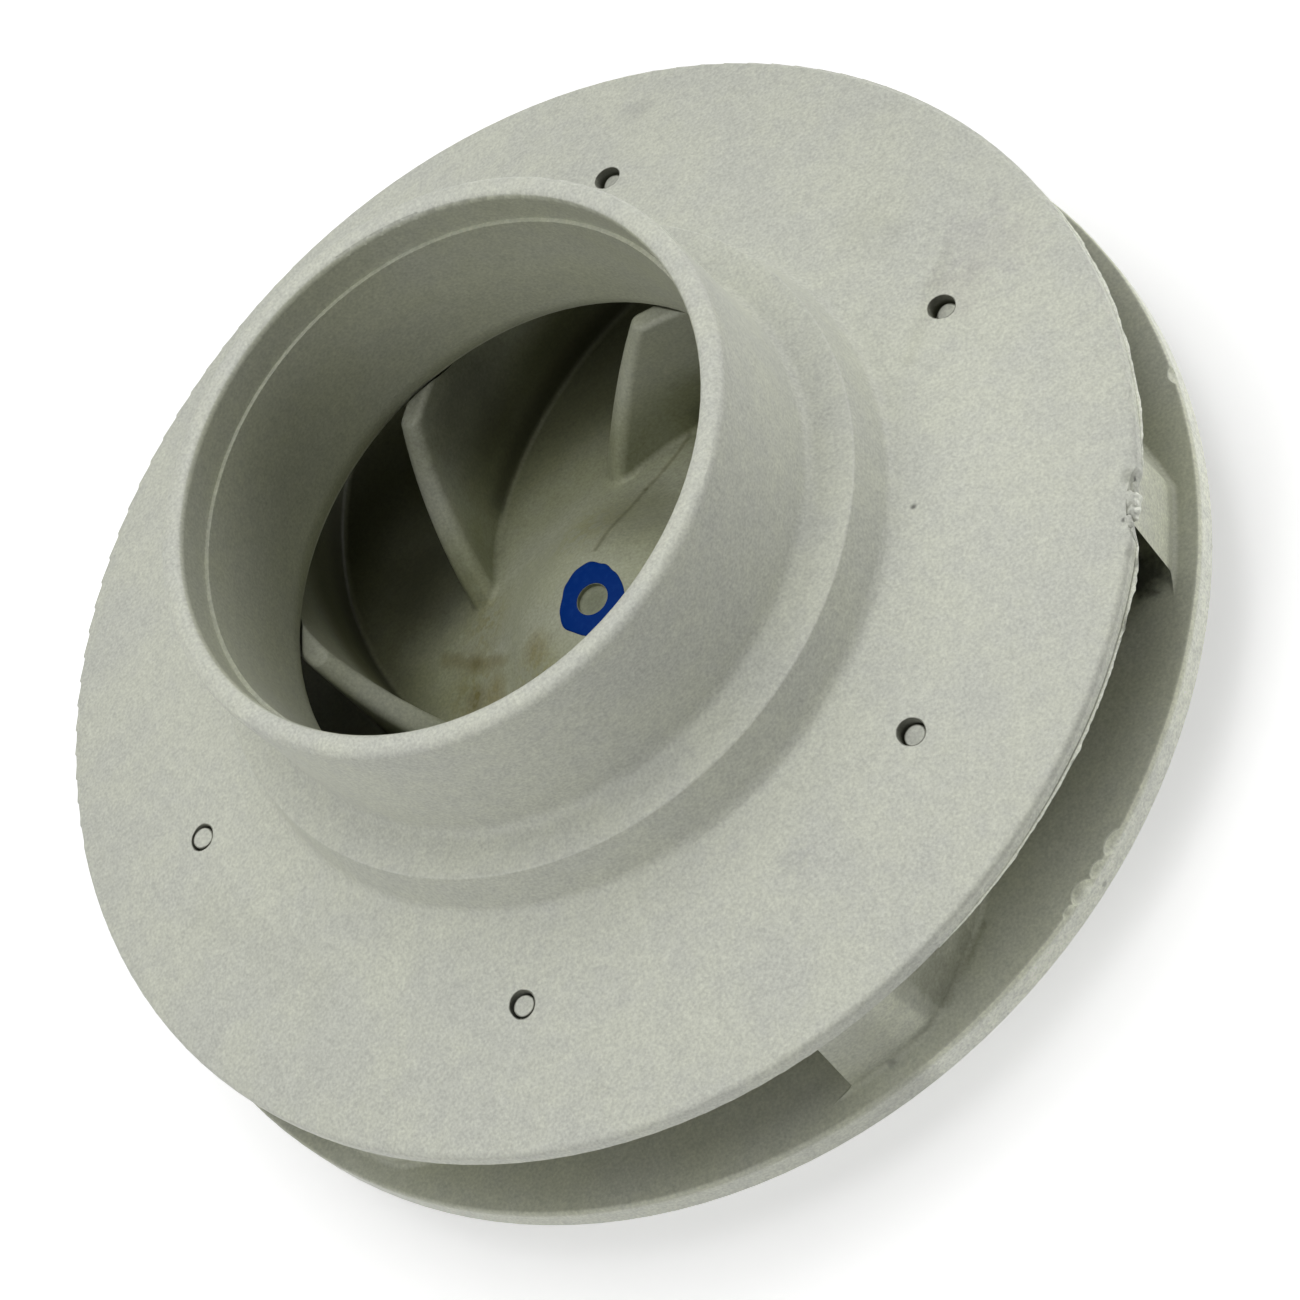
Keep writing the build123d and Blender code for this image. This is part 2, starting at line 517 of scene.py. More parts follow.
@dataclass(frozen=True)
class PinGapShade:
    """Painted shade in the narrow gap round one locating pin.

    Attributes:
        centre: The pin's place across the plate, in millimetres.
        inner: Radius at which the painted shade begins, in millimetres.
        outer: Radius at which it ends, in millimetres.
        tone: Colour by which it tints the plastic.
        lowest: Height below which it doesn't show, in millimetres.
        fray: How far its edges wander, in millimetres.
        starts: Radii about the inner one over which it starts, in millimetres.
        ends: Radii about the outer one over which it ends, in millimetres.
    """

    centre: tuple[float, float]
    inner: float
    outer: float
    tone: Colour = (0.3, 0.3, 0.28)
    lowest: float = 26.0
    fray: float = 0.3
    starts: Span = (-0.08, 0.04)
    ends: Span = (0.06, -0.02)

    def share(self, sheet: FinishSheet, uneven: Signal) -> Signal:
        """Share of the painted shade over the plastic.

        Args:
            sheet: The material's sheet.
            uneven: Noise about 0.5 that frays its edge.

        Returns:
            A signal between 0 and 1.
        """
        centre = (self.centre[0] * MM, self.centre[1] * MM, 0.0)
        gap = sheet.measure("DISTANCE", sheet.plan(), centre) + (uneven - 0.5) * (self.fray * MM)
        ring = gap.over(self.starts, self.inner) * gap.over(self.ends, self.outer)
        return ring * sheet.above(self.lowest)


@dataclass(frozen=True)
class RootCornerShade:
    """Painted shade in the corners between the vanes and the flow face.

    Attributes:
        tone: Colour by which it tints the plastic.
        flow_radius: Radius at which the flow face's height is given, in millimetres.
        flow_height: That height, in millimetres.
        slope: Fall of the flow face for each millimetre outwards.
        foot: Heights over the flow face between which the painted shade starts, in millimetres.
        top: Heights over the flow face between which it ends.
        inner: Radii between which it starts.
        outer: Radii between which it ends.
        fray: How far its edges wander, in millimetres.
    """

    tone: Colour
    flow_radius: float = 27.16
    flow_height: float = 15.92
    slope: float = 0.0565
    foot: Span = (0.0, 0.4)
    top: Span = (5.0, 1.2)
    inner: Span = (24.5, 27.0)
    outer: Span = (56.0, 44.0)
    fray: float = 0.3

    def share(self, sheet: FinishSheet, uneven: Signal) -> Signal:
        """Share of the painted shade over the plastic.

        Args:
            sheet: The material's sheet.
            uneven: Noise about 0.5 that frays its edge.

        Returns:
            A signal between 0 and 1.
        """
        radius = sheet.radius()
        flow = (self.flow_radius * MM - radius) * self.slope + self.flow_height * MM
        rise = sheet.axis(Axis.Z) - flow + (uneven - 0.5) * (self.fray * MM)
        corner = rise.over(self.foot) * rise.over(self.top)
        return corner * radius.over(self.inner) * radius.over(self.outer)


Mark = Spot | Streak | RimLine | PinGapShade | RootCornerShade


@dataclass(frozen=True)
class MouldedPlastic:
    """Pale, dull, finely mottled moulded plastic: olive stain and painted shade where water runs.

    Attributes:
        name: The material's name.
        marks: Spots and streaks on its skin.
        warm: Colour of its olive flecks.
        cool: Colour of its blue-grey flecks.
        film_and_shade_tone: Colour by which the thickest olive stain and painted shade tint the
            plastic.
        painted_shade_tone: Colour by which the painted shade deep inside tints it further.
        patch_size: Width of the large patches, in millimetres.
        mottle_size: Width of the flecks, in millimetres.
        grain_size: Width of the skin's grain, in millimetres.
        roughness: Mean roughness.
        worn_and_lit: Factor by which plastic is paler from rubbing and from painted light.
        patch_share: Share of the large patches in the change between the two colours.
        patch_contrast: How far the large patches change the shade.
        mottle_contrast: How far the flecks change it.
        grain_contrast: How far the grain changes it.
        film_and_shade_contrast: How far the large patches change the olive stain and painted shade.
        pale_least: Share of the paler plastic where the flecks are darkest.
        pale_contrast: How far the flecks raise that share.
        dull_contrast: How far the flecks change the roughness.
        specular: Strength of the skin's gloss.
        fleck_levels: Levels of the noise between the cool colour and the warm one.
        worn_and_lit_contrast: How far the grain changes the paler plastic.
        relief_share: Share of the flecks in the skin's unevenness.
    """

    name: str
    marks: tuple[Mark, ...] = ()
    warm: Colour = (0.582, 0.595, 0.508)
    cool: Colour = (0.568, 0.580, 0.515)
    film_and_shade_tone: Colour = (0.50, 0.51, 0.36)
    painted_shade_tone: Colour = (0.40, 0.40, 0.36)
    patch_size: float = 9.0
    mottle_size: float = 1.5
    grain_size: float = 0.34
    roughness: float = 0.55
    worn_and_lit: float = 1.55
    patch_share: float = 0.7
    patch_contrast: float = 0.14
    mottle_contrast: float = 0.22
    grain_contrast: float = 0.7
    film_and_shade_contrast: float = 0.6
    pale_least: float = 0.6
    pale_contrast: float = 0.75
    dull_contrast: float = 0.2
    specular: float = 0.35
    fleck_levels: Span = (0.36, 0.64)
    worn_and_lit_contrast: float = 0.2
    relief_share: float = 0.8

    def film_and_shade(self, sheet: FinishSheet) -> Signal:
        """Olive stain and painted shade, from 0 on clean plastic to 1 deep in a passage."""
        raise NotImplementedError

    def painted_shade(self, sheet: FinishSheet) -> Signal:
        """Painted shade deep inside, from 0 to 1."""
        raise NotImplementedError

    def wear_and_painted_light(self, sheet: FinishSheet) -> Signal:
        """How far the skin is paler from rubbing and painted light, from 0 to 1."""
        raise NotImplementedError

    def colour(self, sheet: FinishSheet, patches: Signal, mottle: Signal) -> bpy.types.NodeSocket:
        """Colour of the plastic with its stain, painted shade, rubbing, painted light and marks.

        Args:
            sheet: The material's sheet.
            patches: Noise of the large patches.
            mottle: Noise of the flecks.

        Returns:
            The colour.
        """
        grain = sheet.speckle(self.grain_size)
        flecks = patches * self.patch_share + mottle * (1.0 - self.patch_share)
        colour = sheet.blend(flecks.ramp(*self.fleck_levels), self.cool, self.warm)
        # Painted shade deep inside the passages, as a darker tint.
        colour = sheet.blend(self.painted_shade(sheet), colour, self.painted_shade_tone, Blend.TINT)
        shade = 1.0 + (patches - 0.5) * self.patch_contrast
        shade = shade + (mottle - 0.5) * self.mottle_contrast + (grain - 0.5) * self.grain_contrast
        colour = sheet.blend(1.0, colour, sheet.grey(shade), Blend.TINT)
        # Olive stain where water runs, with painted shade in the bore, under the cone and in the
        # passages.
        film_and_shade = self.film_and_shade(sheet) * (1.0 + (patches - 0.5) * self.film_and_shade_contrast)
        colour = sheet.blend(film_and_shade, colour, self.film_and_shade_tone, Blend.TINT)
        # Paler plastic on rims, chips and vane ends: painted light, palest on the side where light
        # falls.
        pale = self.wear_and_painted_light(sheet) * (self.pale_least + mottle * self.pale_contrast)
        paler_grey = sheet.grey(self.worn_and_lit + (grain - 0.5) * self.worn_and_lit_contrast)
        colour = sheet.blend(pale, colour, paler_grey, Blend.TINT)
        for mark in self.marks:
            colour = sheet.blend(mark.share(sheet, mottle), colour, mark.tone, Blend.TINT)
        return colour

    def material(self) -> bpy.types.Material:
        """Build the plastic's material.

        Returns:
            The material.
        """
        sheet = FinishSheet(self.name)
        patches = sheet.speckle(self.patch_size, detail=3.0)
        mottle = sheet.speckle(self.mottle_size, detail=3.0)
        skin = mottle * self.relief_share + patches * (1.0 - self.relief_share)
        inputs = {
            "Base Color": self.colour(sheet, patches, mottle),
            "Roughness": (mottle - 0.5) * self.dull_contrast + self.roughness,
            "Specular IOR Level": self.specular,
            "Normal": sheet.relief(skin, strength=0.22, depth=0.16),
        }
        return sheet.finish(sheet.add("ShaderNodeBsdfPrincipled", inputs=inputs))


@dataclass(frozen=True)
class ShroudPlastic(MouldedPlastic):
    """Plastic of the front shroud. Each span is where something starts or ends, in millimetres.

    Attributes:
        bore: Radii from the neck's wall into the bore.
        bore_film_and_shade: Thickness of the olive stain and painted shade in the bore.
        rim_radius: Radius of the shroud's rim, in millimetres.
        rim_middle: Height halfway through the rim, in millimetres.
        slope: Rise of the shroud's cone towards the eye.
        underside: Heights about the middle of the cone, from its face to its underside.
        passage: Radii from the rim into the passages.
        painted_shade_height: Heights over which the painted shade starts.
        painted_shade_start: Radii over which it starts.
        painted_shade_fade: Radii over which it fades towards the rim.
        painted_shade_end: Radii by which it has ended.
        worn_and_lit_rim: Radii over which the rim's paler edge starts.
        worn_and_lit_least: Paleness of the rim away from its pale stretch.
        flash_middle: Direction of the rim's pale stretch along the flash, in degrees.
        flash_spread: Half the stretch, in degrees.
    """

    bore: Span = (31.15, 31.0)
    bore_film_and_shade: float = 0.42
    rim_radius: float = 65.0
    rim_middle: float = 27.0
    slope: float = 0.198
    underside: Span = (0.4, -0.4)
    passage: Span = (63.5, 52.0)
    painted_shade_height: Span = (33.0, 31.0)
    painted_shade_start: Span = (29.5, 30.2)
    painted_shade_fade: Span = (41.0, 33.0)
    painted_shade_end: Span = (56.0, 44.0)
    worn_and_lit_rim: Span = (64.9, 65.1)
    worn_and_lit_least: float = 0.15
    flash_middle: float = -34.0
    flash_spread: float = 42.0

    def film_and_shade(self, sheet: FinishSheet) -> Signal:
        """Olive stain and painted shade in the bore and under the cone.

        Args:
            sheet: The material's sheet.

        Returns:
            Its thickness, from 0 to 1.
        """
        radius = sheet.radius()
        middle = (self.rim_radius * MM - radius) * self.slope + self.rim_middle * MM
        under = (sheet.axis(Axis.Z) - middle).over(self.underside)
        return (radius.over(self.bore) * self.bore_film_and_shade).at_least(under * radius.over(self.passage))

    def painted_shade(self, sheet: FinishSheet) -> Signal:
        """Painted shade under the cone, out to the middle of the passages.

        Args:
            sheet: The material's sheet.

        Returns:
            Its share, from 0 to 1.
        """
        radius = sheet.radius()
        under = radius.over(self.painted_shade_start) * radius.over(self.painted_shade_end)
        low = sheet.axis(Axis.Z).over(self.painted_shade_height)
        return under * low * radius.over(self.painted_shade_fade)

    def wear_and_painted_light(self, sheet: FinishSheet) -> Signal:
        """Paler rim edge and flash, palest along the flash: a painted highlight on the lit edge.

        Args:
            sheet: The material's sheet.

        Returns:
            Its share, from 0 to 1.
        """
        stretch = sheet.facing(self.flash_middle, self.flash_spread)
        share = self.worn_and_lit_least + stretch * (1.0 - self.worn_and_lit_least)
        return sheet.radius().over(self.worn_and_lit_rim) * share


@dataclass(frozen=True)
class PlatePlastic(MouldedPlastic):
    """Plastic of the back plate and its vanes. Spans are in millimetres.

    Attributes:
        flow_start: Heights over which the water's side starts.
        pin_ring: Radii over which the ring of pins starts.
        pin_height: Heights over which the pins stand free of stain and painted shade.
        vane_start: Radii over which the vanes start.
        vane_height: Heights from the vanes' foot to their upper part.
        vane_lift: Share by which the stain and painted shade thin out on the upper vanes.
        nose_film_and_shade: Thickness of the olive stain and painted shade on the nose.
        nose_end: Radii over which the nose passes into the passages.
        rim_film_and_shade: Thickness of the stain and painted shade at the plate's rim.
        rim_start: Radii over which the stain and painted shade thin out towards the rim.
        painted_shade_start: Radii over which the painted shade starts.
        painted_shade_end: Radii over which it ends.
        worn_and_lit_rim: Radii over which the rim's paler band starts.
        broken_rim: Radii over which the broken corners' paler plastic starts.
        broken_height: Heights below which the broken corners lie.
        tip_start: Radii over which the paler ends of the vanes start.
        tip_height: Heights over which they start.
        tip_wear_and_light: Paleness of the ends of the vanes.
        worn_and_lit_least: Paleness of the rim away from its lit stretch.
        lit_middle: Direction of the rim's palest stretch, where painted light falls, in degrees.
        lit_spread: Half that stretch, in degrees.
    """

    flow_start: Span = (12.7, 13.3)
    pin_ring: Span = (45.0, 47.0)
    pin_height: Span = (29.4, 30.0)
    vane_start: Span = (15.0, 19.0)
    vane_height: Span = (20.0, 28.0)
    vane_lift: float = 0.6
    nose_film_and_shade: float = 0.72
    nose_end: Span = (14.0, 30.0)
    rim_film_and_shade: float = 0.42
    rim_start: Span = (40.0, 63.0)
    painted_shade_start: Span = (22.5, 32.0)
    painted_shade_end: Span = (60.0, 46.0)
    worn_and_lit_rim: Span = (65.55, 65.7)
    broken_rim: Span = (64.2, 64.4)
    broken_height: Span = (13.72, 13.62)
    tip_start: Span = (62.4, 62.9)
    tip_height: Span = (14.8, 15.8)
    tip_wear_and_light: float = 0.7
    worn_and_lit_least: float = 0.1
    lit_middle: float = -22.0
    lit_spread: float = 62.0

    def wet_and_shaded(self, sheet: FinishSheet) -> Signal:
        """Olive stain and painted shade by height: none below the flow face or on the pins.

        Args:
            sheet: The material's sheet.

        Returns:
            The share of them that lies there, from 0 to 1.
        """
        radius, height = sheet.radius(), sheet.axis(Axis.Z)
        pins = radius.over(self.pin_ring) * height.over(self.pin_height)
        vanes = radius.over(self.vane_start) * height.over(self.vane_height)
        return height.over(self.flow_start) * (1.0 - pins) * (1.0 - vanes * self.vane_lift)

    def film_and_shade(self, sheet: FinishSheet) -> Signal:
        """Olive stain and painted shade on the flow side, thickest deep in the passages.

        Args:
            sheet: The material's sheet.

        Returns:
            Its thickness, from 0 to 1.
        """
        radius = sheet.radius()
        deep = radius.over(self.nose_end) * (1.0 - self.nose_film_and_shade) + self.nose_film_and_shade
        return self.wet_and_shaded(sheet) * (deep - radius.over(self.rim_start) * (1.0 - self.rim_film_and_shade))

    def painted_shade(self, sheet: FinishSheet) -> Signal:
        """Painted shade in the passages, from the eye's edge to their middle.

        Args:
            sheet: The material's sheet.

        Returns:
            Its share, from 0 to 1.
        """
        radius = sheet.radius()
        return self.wet_and_shaded(sheet) * radius.over(self.painted_shade_start) * radius.over(self.painted_shade_end)

    def wear_and_painted_light(self, sheet: FinishSheet) -> Signal:
        """Paler rim, chipped corners and vane ends, with painted light along the lit side.

        Args:
            sheet: The material's sheet.

        Returns:
            Its share, from 0 to 1.
        """
        radius, height = sheet.radius(), sheet.axis(Axis.Z)
        rim = radius.over(self.worn_and_lit_rim)
        broken = radius.over(self.broken_rim) * height.over(self.broken_height)
        ends = radius.over(self.tip_start) * height.over(self.tip_height) * self.tip_wear_and_light
        stretch = sheet.facing(self.lit_middle, self.lit_spread)
        share = self.worn_and_lit_least + stretch * (1.0 - self.worn_and_lit_least)
        return rim.at_least(broken).at_least(ends) * share


@dataclass(frozen=True)
class BrushedPaint:
    """Opaque blue marking paint, dabbed on by hand.

    Attributes:
        name: The material's name.
        thick: Colour where the paint lies thick.
        thin: Colour where it lies thin.
        streak_size: Width of its streaks, in millimetres.
        streak_levels: Levels of the noise between thick paint and thin.
        roughness: Least roughness.
        dull_contrast: How far the streaks raise it.
        specular: Strength of its gloss.
    """

    name: str = "marking_paint"
    thick: Colour = (0.0003, 0.027, 0.19)
    thin: Colour = (0.004, 0.036, 0.21)
    streak_size: float = 0.8
    streak_levels: Span = (0.4, 0.75)
    roughness: float = 0.45
    dull_contrast: float = 0.3
    specular: float = 0.05

    def material(self) -> bpy.types.Material:
        """Build the paint's material.

        Returns:
            The material.
        """
        sheet = FinishSheet(self.name)
        streaks = sheet.speckle(self.streak_size, detail=3.0)
        inputs = {
            "Base Color": sheet.blend(streaks.ramp(*self.streak_levels), self.thick, self.thin),
            "Roughness": streaks * self.dull_contrast + self.roughness,
            "Specular IOR Level": self.specular,
            "Normal": sheet.relief(streaks, strength=0.3, depth=0.1),
        }
        return sheet.finish(sheet.add("ShaderNodeBsdfPrincipled", inputs=inputs))


@dataclass(frozen=True)
class TurnedBrass:
    """Dull brass with fine turning marks round the shaft axis.

    Attributes:
        name: The material's name.
        bright: Colour of the clean metal.
        dull: Colour of the tarnished metal.
        feed: Distance between turning marks, in millimetres.
        tarnish_size: Width of a tarnished patch, in millimetres.
        tarnish_levels: Levels of the noise between clean metal and tarnished.
        roughness: Least roughness.
        dull_contrast: How far the tarnish raises it.
    """

    name: str = "turned_brass"
    bright: Colour = (0.72, 0.53, 0.22)
    dull: Colour = (0.42, 0.29, 0.12)
    feed: float = 0.25
    tarnish_size: float = 3.0
    tarnish_levels: Span = (0.4, 0.7)
    roughness: float = 0.2
    dull_contrast: float = 0.3

    def material(self) -> bpy.types.Material:
        """Build the brass's material.

        Returns:
            The material.
        """
        sheet = FinishSheet(self.name)
        tarnish = sheet.speckle(self.tarnish_size, detail=4.0)
        rings = (sheet.radius() * (math.tau / (self.feed * MM))).sine()
        inputs = {
            "Base Color": sheet.blend(tarnish.ramp(*self.tarnish_levels), self.bright, self.dull),
            "Metallic": 1.0,
            "Roughness": tarnish * self.dull_contrast + self.roughness,
            "Normal": sheet.relief(rings, strength=0.15, depth=0.02),
        }
        return sheet.finish(sheet.add("ShaderNodeBsdfPrincipled", inputs=inputs))


def dress(piece: bpy.types.Object, material: bpy.types.Material) -> None:
    """Give a piece one material in place of those it has."""
    piece.data.materials.clear()
    piece.data.materials.append(material)


def place_in_scene(form: bmesh.types.BMesh, name: str) -> bpy.types.Object:
    """Turn a form into an object of the scene.

    Args:
        form: The form, which is freed.
        name: The object's name.

    Returns:
        The new object.
    """
    mesh = bpy.data.meshes.new(name)
    form.to_mesh(mesh)
    form.free()
    piece = bpy.data.objects.new(name, mesh)
    bpy.context.scene.collection.objects.link(piece)
    return piece


def smooth_piece(form: bmesh.types.BMesh, name: str) -> bpy.types.Object:
    """Turn a closed form into a smooth-shaded object with its faces outwards.

    Args:
        form: The form, which is freed.
        name: The object's name.

    Returns:
        The new object.
    """
    bmesh.ops.recalc_face_normals(form, faces=form.faces)
    for face in form.faces:
        face.smooth = True
    return place_in_scene(form, name)


def outline(
    form: bmesh.types.BMesh, places: Sequence[Place | Vector]
) -> list[bmesh.types.BMVert | bmesh.types.BMEdge]:
    """Draw a closed outline to be spun.

    Args:
        form: The form that it goes into.
        places: Its corners.

    Returns:
        Its corners and edges.
    """
    corners = [form.verts.new(place) for place in places]
    return corners + [form.edges.new(pair) for pair in zip(corners, corners[1:] + corners[:1])]


def close_ends(form: bmesh.types.BMesh, sides: int) -> None:
    """Fill the two open ends that a part turn of an outline with that many sides leaves."""
    rims = [edge for edge in form.edges if edge.is_boundary]
    bmesh.ops.holes_fill(form, edges=rims, sides=sides)


@dataclass
class CastPiece:
    """A smooth-shaded copy of one CAD node, merged and dressed.

    Attributes:
        node: Name of the CAD node that it stands for.
        slot: Name of a material slot, not used.
        sharp_angle: Edges that turn by more than this many degrees stay sharp.
        merge: Distance within which corners are one, in millimetres.
    """

    node: str
    slot: str
    sharp_angle: float = 28.0
    merge: float = 0.0005

    def copy(self) -> bmesh.types.BMesh:
        """Copy the node's loose triangles and merge them.

        Returns:
            The merged copy.
        """
        form = bmesh.new()
        form.from_mesh(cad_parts[self.node].data)
        bmesh.ops.remove_doubles(form, verts=form.verts, dist=self.merge * MM)
        return form

    def build(self, material: bpy.types.Material) -> bpy.types.Object:
        """Make the copy.

        Args:
            material: Its finish.

        Returns:
            The piece, standing for its CAD node.
        """
        form = self.copy()
        limit = math.radians(self.sharp_angle)
        for face in form.faces:
            face.smooth = True
        for edge in form.edges:
            edge.smooth = edge.calc_face_angle(math.pi) < limit
        piece = place_in_scene(form, self.node + "_skin")
        dress(piece, material)
        weigh = piece.modifiers.new("even_shading", "WEIGHTED_NORMAL")
        weigh.keep_sharp = True
        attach(piece, "root")
        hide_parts(self.node)
        return piece


@dataclass
class TappedInsert(CastPiece):
    """The brass insert, with the thread cut into its bore.

    Attributes:
        pitch: Rise of one turn, in millimetres.
        crest_radius: Radius of the bore's wall, in millimetres.
        root_radius: Radius of the bottom of the groove, in millimetres.
        first_level: Height at which the groove begins, in millimetres.
        turns: Number of turns.
        steps: Steps in one turn.
        heel: Depth of the tool's heel in the open bore, in millimetres.
        width: Half the tool's width at its heel, as a share of the pitch.
        flat: Depth by which the tool's tip is cut flat, in millimetres.
    """

    pitch: float = 1.27
    crest_radius: float = 4.95
    root_radius: float = 5.55
    first_level: float = 8.2
    turns: int = 9
    steps: int = 48
    heel: float = 0.5
    width: float = 0.46
    flat: float = 0.08

    def cutter(self) -> bpy.types.Object:
        """Make the helical tool that cuts the groove.

        Returns:
            The tool, which is closed.
        """
        form = bmesh.new()
        heel = self.crest_radius - self.heel
        half = self.pitch * self.width
        blunt = self.flat * half / (self.root_radius - heel)
        tip = self.root_radius - self.flat
        profile = ((heel, -half), (tip, -blunt), (tip, blunt), (heel, half))
        places = [polar(radius, 0, self.first_level + rise) for radius, rise in profile]
        bmesh.ops.spin(
            form,
            geom=outline(form, places),
            axis=(0, 0, 1),
            cent=(0, 0, 0),
            dvec=(0, 0, self.pitch * MM / self.steps),
            angle=math.tau * self.turns,
            steps=self.steps * self.turns,
        )
        close_ends(form, len(profile))
        return smooth_piece(form, "thread_cutter")

    def copy(self) -> bmesh.types.BMesh:
        """Copy and merge the node, and cut its thread.

        Returns:
            The threaded copy.
        """
        blank = place_in_scene(super().copy(), "insert_blank")
        tool = self.cutter()
        cut = blank.modifiers.new("thread", "BOOLEAN")
        cut.operation = "DIFFERENCE"
        cut.solver = "EXACT"
        cut.object = tool
        graph = bpy.context.evaluated_depsgraph_get()
        form = bmesh.new()
        form.from_object(blank, graph)
        bmesh.ops.triangulate(form, faces=form.faces)
        for helper in (blank, tool):
            bpy.data.objects.remove(helper)
        return form


@dataclass
class PaintRing:
    """Blue ring dabbed by hand round the gate mark on the nose.

    Attributes:
        inner_radius: Radius of the bare spot, in millimetres.
        edge_points: Angle and outer radius of each dab, in degrees and millimetres.
        thickness: Thickness of the paint, in millimetres.
        steps: Number of steps round the ring.
        section: Corners of the ring's section: the share of the way out, and the rise in
            thicknesses.
        nose_top: Height of the nose, in millimetres.
        nose_sphere: Radius of the nose's sphere, in millimetres.
    """

    inner_radius: float = 1.9
    edge_points: tuple[tuple[float, float], ...] = (
        (0, 3.7), (25, 3.85), (52, 4.45), (76, 5.15), (92, 5.05), (114, 4.6), (140, 4.1),
        (165, 4.25), (186, 4.4), (211, 4.1), (250, 4.3), (295, 4.0), (360, 3.7),
    )
    thickness: float = 0.07
    steps: int = 120
    section: tuple[tuple[float, float], ...] = (
        (0.0, -0.4), (0.0, 0.4), (0.06, 0.9), (0.3, 1.0), (0.7, 1.0), (0.93, 0.8),
        (1.0, 0.3), (1.0, -0.4),
    )
    nose_top: float = 25.65
    nose_sphere: float = 20.0

    def height(self, radius: float) -> float:
        """Height of the nose at a radius, both in millimetres."""
        return self.nose_top - self.nose_sphere + math.sqrt(self.nose_sphere**2 - radius**2)

    def edge(self, angle: float) -> float:
        """Outer radius of the paint at an angle in degrees, in millimetres."""
        return follow(self.edge_points, angle % 360.0)[0]

    def build(self, material: bpy.types.Material) -> bpy.types.Object:
        """Lay the ring on the nose.

        Args:
            material: The paint.

        Returns:
            The ring.
        """
        form = bmesh.new()
        bmesh.ops.spin(
            form,
            geom=outline(form, [(1.0 + share, 0.0, rise) for share, rise in self.section]),
            axis=(0, 0, 1),
            cent=(0, 0, 0),
            angle=math.tau,
            steps=self.steps,
            use_merge=True,
        )
        for corner in form.verts:
            share = math.hypot(corner.co.x, corner.co.y) - 1.0
            angle = math.degrees(math.atan2(corner.co.y, corner.co.x))
            radius = self.inner_radius + share * (self.edge(angle) - self.inner_radius)
            rise = corner.co.z * self.thickness
            corner.co = polar(radius, angle, self.height(radius) + rise)
        piece = smooth_piece(form, "paint_ring")
        dress(piece, material)
        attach(piece, "root")
        return piece


@dataclass(frozen=True)
class Ripple:
    """One size of wave in the edge of a fin.

    Attributes:
        depth: How far it reaches either way, as a share of the fin's width.
        rate: Its bumps in one degree.
        line: Picks its noise, counted from the fin's seed.
    """

    depth: float
    rate: float
    line: float = 0.0

    def at(self, seed: float, angle: float) -> float:
        """Read the wave.

        Args:
            seed: The fin's seed.
            angle: Where it is read, in degrees from the first pin.

        Returns:
            Its reach there.
        """
        return self.depth * wander(seed + self.line, angle * self.rate)


@dataclass
class RimFlash:
    """Thin uneven fin of flash along part of the front shroud's rim.

    Attributes:
        name: The piece's name.
        path: Rows of angle in degrees, and the rim's radius, the fin's height and the fin's
            width there in millimetres.
        rise: Share of the width by which its edge turns up.
        thickness: Thickness at its root, in millimetres.
        edge_thickness: Thickness at its edge, in millimetres.
        sunk: Depth of its root in the rim, in millimetres.
        seed: Picks the pattern of its ragged edge.
        steps_per_degree: Number of sections in one degree.
        broad: The broad waves of its width.
        fine: The fine waves of its width.
        curl: The waves by which its edge turns up and down.
        mean_width: Its mean width, as a share of the path's.
        least_width: Its least width, as a share of the path's.
    """

    name: str
    path: tuple[tuple[float, float, float, float], ...]
    rise: float = 0.25
    thickness: float = 0.22
    edge_thickness: float = 0.06
    sunk: float = 0.4
    seed: float = 1.0
    steps_per_degree: int = 4
    broad: Ripple = Ripple(0.35, 0.45)
    fine: Ripple = Ripple(0.3, 1.9, 3.0)
    curl: Ripple = Ripple(0.5, 0.8, 9.0)
    mean_width: float = 0.8
    least_width: float = 0.25

    def section(self, angle: float) -> list[Vector]:
        """Work out the fin's section.

        Args:
            angle: Where it is cut, in degrees from the first pin.

        Returns:
            Its corners.
        """
        radius, level, reach = follow(self.path, angle)
        waves = self.broad.at(self.seed, angle) + self.fine.at(self.seed, angle)
        width = reach * max(self.mean_width + waves, self.least_width)
        edge = level + width * (self.rise + self.curl.at(self.seed, angle))
        half, thin = self.thickness / 2, self.edge_thickness / 2
        root = radius - self.sunk
        corners = (
            (root, level - half), (radius, level - half), (radius + width, edge - thin),
            (radius + width, edge + thin), (radius, level + half), (root, level + half),
        )
        return [polar(distance, angle, height) for distance, height in corners]

    def build(self, material: bpy.types.Material) -> bpy.types.Object:
        """Spin a fin along the rim, then set each section to its size.

        Args:
            material: Its finish.

        Returns:
            The fin.
        """
        start, end = self.path[0][0], self.path[-1][0]
        steps = int((end - start) * self.steps_per_degree)
        places = self.section(start)
        form = bmesh.new()
        bmesh.ops.spin(
            form,
            geom=outline(form, places),
            axis=(0, 0, 1),
            cent=(0, 0, 0),
            angle=math.radians(end - start),
            steps=steps,
        )
        form.verts.ensure_lookup_table()
        for step in range(steps + 1):
            row = form.verts[step * len(places) : (step + 1) * len(places)]
            for corner, place in zip(row, self.section(start + (end - start) * step / steps)):
                corner.co = place
        close_ends(form, len(places))
        piece = smooth_piece(form, self.name)
        dress(piece, material)
        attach(piece, "root")
        return piece


@dataclass(frozen=True)
class Lump:
    """One squeezed-out lump of plastic.

    Attributes:
        radius: Its distance from the shaft axis, in millimetres.
        angle: Its angle from the first pin, in degrees.
        height: Its height, in millimetres.
        size: Half widths outwards, along the rim and upwards, in millimetres.
    """

    radius: float
    angle: float
    height: float
    size: Place


